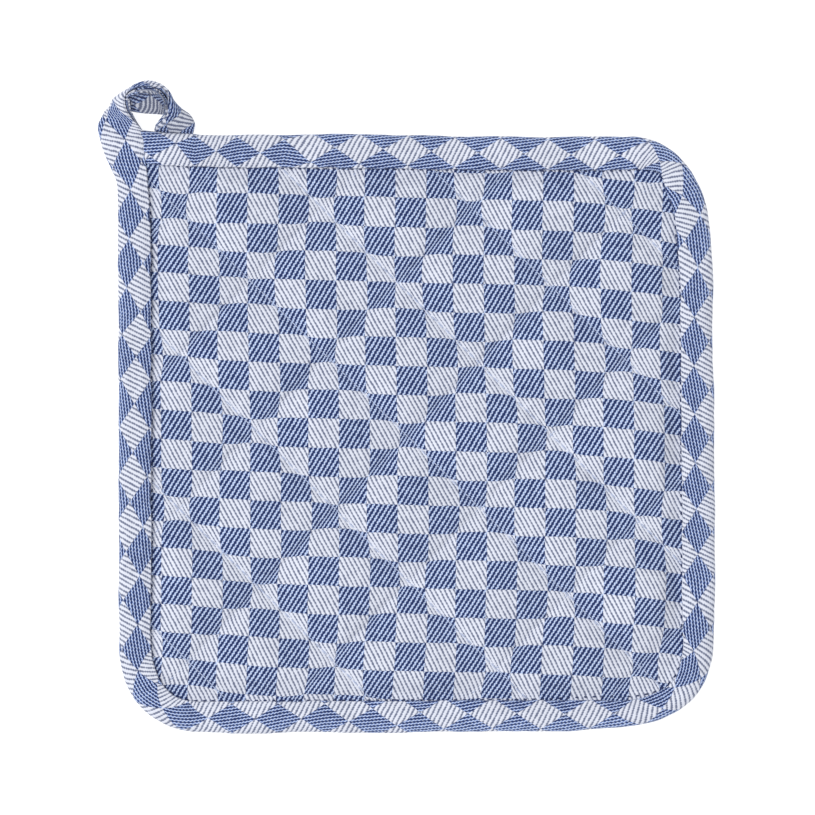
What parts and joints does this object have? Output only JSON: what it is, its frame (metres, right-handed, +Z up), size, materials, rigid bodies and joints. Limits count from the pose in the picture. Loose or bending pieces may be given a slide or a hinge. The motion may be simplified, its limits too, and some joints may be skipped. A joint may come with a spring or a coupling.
{
  "type": "pot holder",
  "caption": "Square quilted pot holder with rounded corners, a folded bias binding and a hanging loop at one corner, lying face up.",
  "frame": {"origin": "middle of the whole thing's box on the table, the loop included", "axes": "+Z up out of the front face, +Y towards the edge with the hanging loop, +X to the right as the front is seen"},
  "size_m": [0.2068, 0.2182, 0.011],
  "materials": {
    "pad_cloth": "blue and white checked cotton, quilted in a diamond grid",
    "binding_cloth": "the same checked cotton cut on the bias and folded round the edge",
    "loop_cloth": "the bias strip folded double and sewn down as a loop"
  },
  "bodies": {
    "root": {"pad": "pad_cloth", "binding": "binding_cloth", "hanging_loop": "loop_cloth"}
  },
  "joints": []
}
